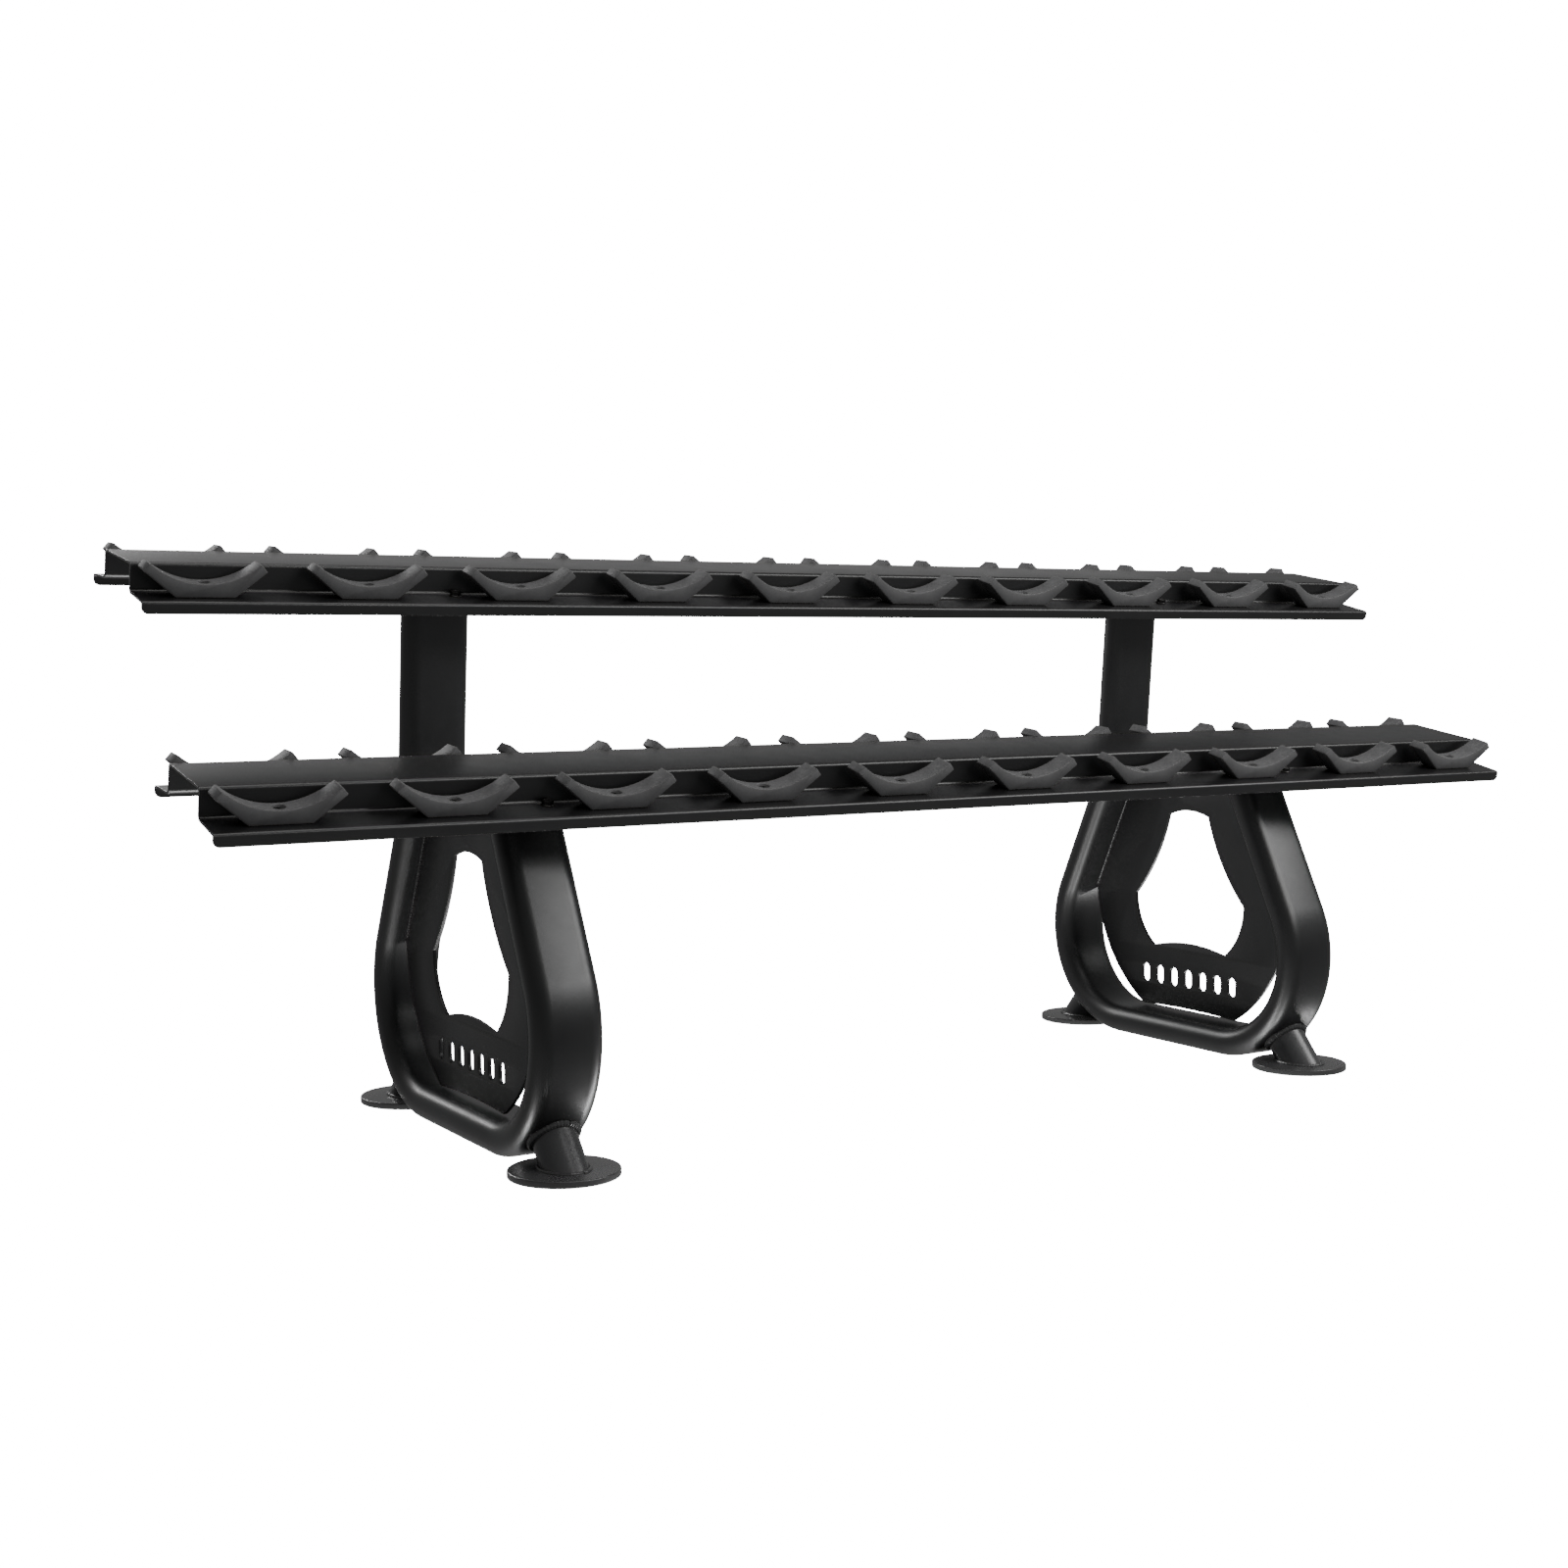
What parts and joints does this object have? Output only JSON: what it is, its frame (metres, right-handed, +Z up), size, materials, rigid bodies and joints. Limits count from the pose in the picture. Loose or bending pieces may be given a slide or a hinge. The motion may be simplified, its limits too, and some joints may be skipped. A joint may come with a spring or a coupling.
{
  "type": "two-tier dumbbell rack",
  "caption": "Free-standing two-tier rack: tilted folded-steel tiers with rubber cradles for dumbbell heads, on looped oval-tube uprights with flat plates and disc feet.",
  "frame": {"origin": "on the floor, midway between the two uprights and midway between the front and rear feet", "axes": "+X along the tiers, +Y from the front towards the back, +Z up"},
  "size_m": [2.3, 0.7278, 0.8697],
  "materials": {
    "tier_steel": "satin black powder coat, fine texture",
    "upright_steel": "satin black powder coat",
    "plate_steel": "satin black powder coat on flat-cut plate",
    "foot_steel": "satin black powder coat over weld beads",
    "bracket_steel": "satin black powder coat",
    "saddle_rubber": "matte moulded"
  },
  "bodies": {
    "root": {"lower_tier": "tier_steel", "upper_tier": "tier_steel", "saddle_lower_front_01": "saddle_rubber", "saddle_lower_front_02": "saddle_rubber", "saddle_lower_front_03": "saddle_rubber", "saddle_lower_front_04": "saddle_rubber", "saddle_lower_front_05": "saddle_rubber", "saddle_lower_front_06": "saddle_rubber", "saddle_lower_front_07": "saddle_rubber", "saddle_lower_front_08": "saddle_rubber", "saddle_lower_front_09": "saddle_rubber", "saddle_lower_front_10": "saddle_rubber", "saddle_lower_rear_01": "saddle_rubber", "saddle_lower_rear_02": "saddle_rubber", "saddle_lower_rear_03": "saddle_rubber", "saddle_lower_rear_04": "saddle_rubber", "saddle_lower_rear_05": "saddle_rubber", "saddle_lower_rear_06": "saddle_rubber", "saddle_lower_rear_07": "saddle_rubber", "saddle_lower_rear_08": "saddle_rubber", "saddle_lower_rear_09": "saddle_rubber", "saddle_lower_rear_10": "saddle_rubber", "saddle_upper_front_01": "saddle_rubber", "saddle_upper_front_02": "saddle_rubber", "saddle_upper_front_03": "saddle_rubber", "saddle_upper_front_04": "saddle_rubber", "saddle_upper_front_05": "saddle_rubber", "saddle_upper_front_06": "saddle_rubber", "saddle_upper_front_07": "saddle_rubber", "saddle_upper_front_08": "saddle_rubber", "saddle_upper_front_09": "saddle_rubber", "saddle_upper_front_10": "saddle_rubber", "saddle_upper_rear_01": "saddle_rubber", "saddle_upper_rear_02": "saddle_rubber", "saddle_upper_rear_03": "saddle_rubber", "saddle_upper_rear_04": "saddle_rubber", "saddle_upper_rear_05": "saddle_rubber", "saddle_upper_rear_06": "saddle_rubber", "saddle_upper_rear_07": "saddle_rubber", "saddle_upper_rear_08": "saddle_rubber", "saddle_upper_rear_09": "saddle_rubber", "saddle_upper_rear_10": "saddle_rubber", "left_upright_tube": "upright_steel", "left_gusset_plate": "plate_steel", "left_front_foot_tube": "foot_steel", "left_front_foot_disc": "foot_steel", "left_rear_foot_tube": "foot_steel", "left_rear_foot_disc": "foot_steel", "left_lower_bracket": "bracket_steel", "left_upper_bracket": "bracket_steel", "right_upright_tube": "upright_steel", "right_gusset_plate": "plate_steel", "right_front_foot_tube": "foot_steel", "right_front_foot_disc": "foot_steel", "right_rear_foot_tube": "foot_steel", "right_rear_foot_disc": "foot_steel", "right_lower_bracket": "bracket_steel", "right_upper_bracket": "bracket_steel"}
  },
  "joints": []
}
